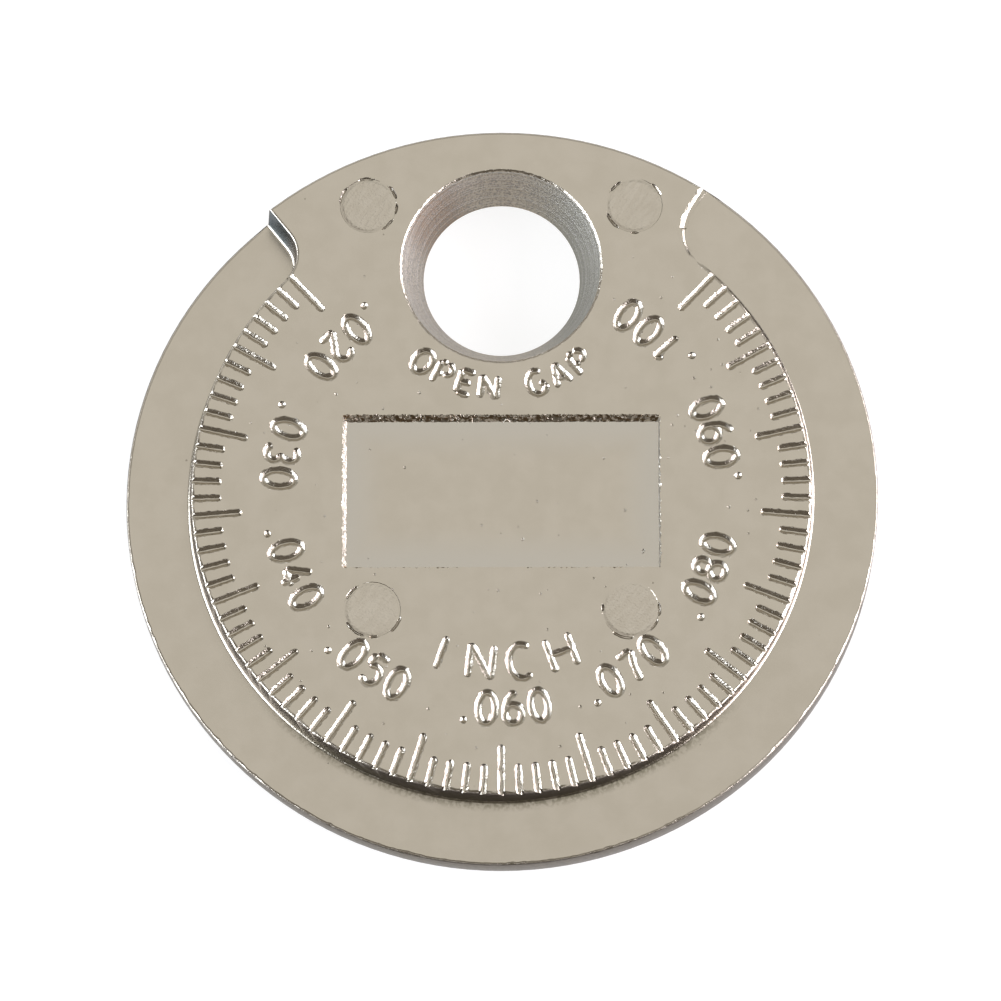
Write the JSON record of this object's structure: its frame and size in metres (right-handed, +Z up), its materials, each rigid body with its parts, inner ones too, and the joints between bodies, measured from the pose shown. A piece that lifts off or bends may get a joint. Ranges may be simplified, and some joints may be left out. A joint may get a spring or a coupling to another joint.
{
  "type": "spark plug gap gauge",
  "caption": "Coin-shaped spark plug gap gauge: a metal disc with a rim that rises round an engraved inch scale, a tapered gap-opening hole and a bare rectangular recess.",
  "frame": {"origin": "centre of the disc's flat back face", "axes": "+Z up out of the scale face, +Y from the disc's centre towards the tapered hole, +X to the right of someone reading the scale"},
  "size_m": [0.0382, 0.0382, 0.0027],
  "materials": {
    "nickel_plate": "satin nickel plate over a zinc casting"
  },
  "bodies": {
    "root": {"gauge_disc": "nickel_plate"}
  },
  "joints": []
}
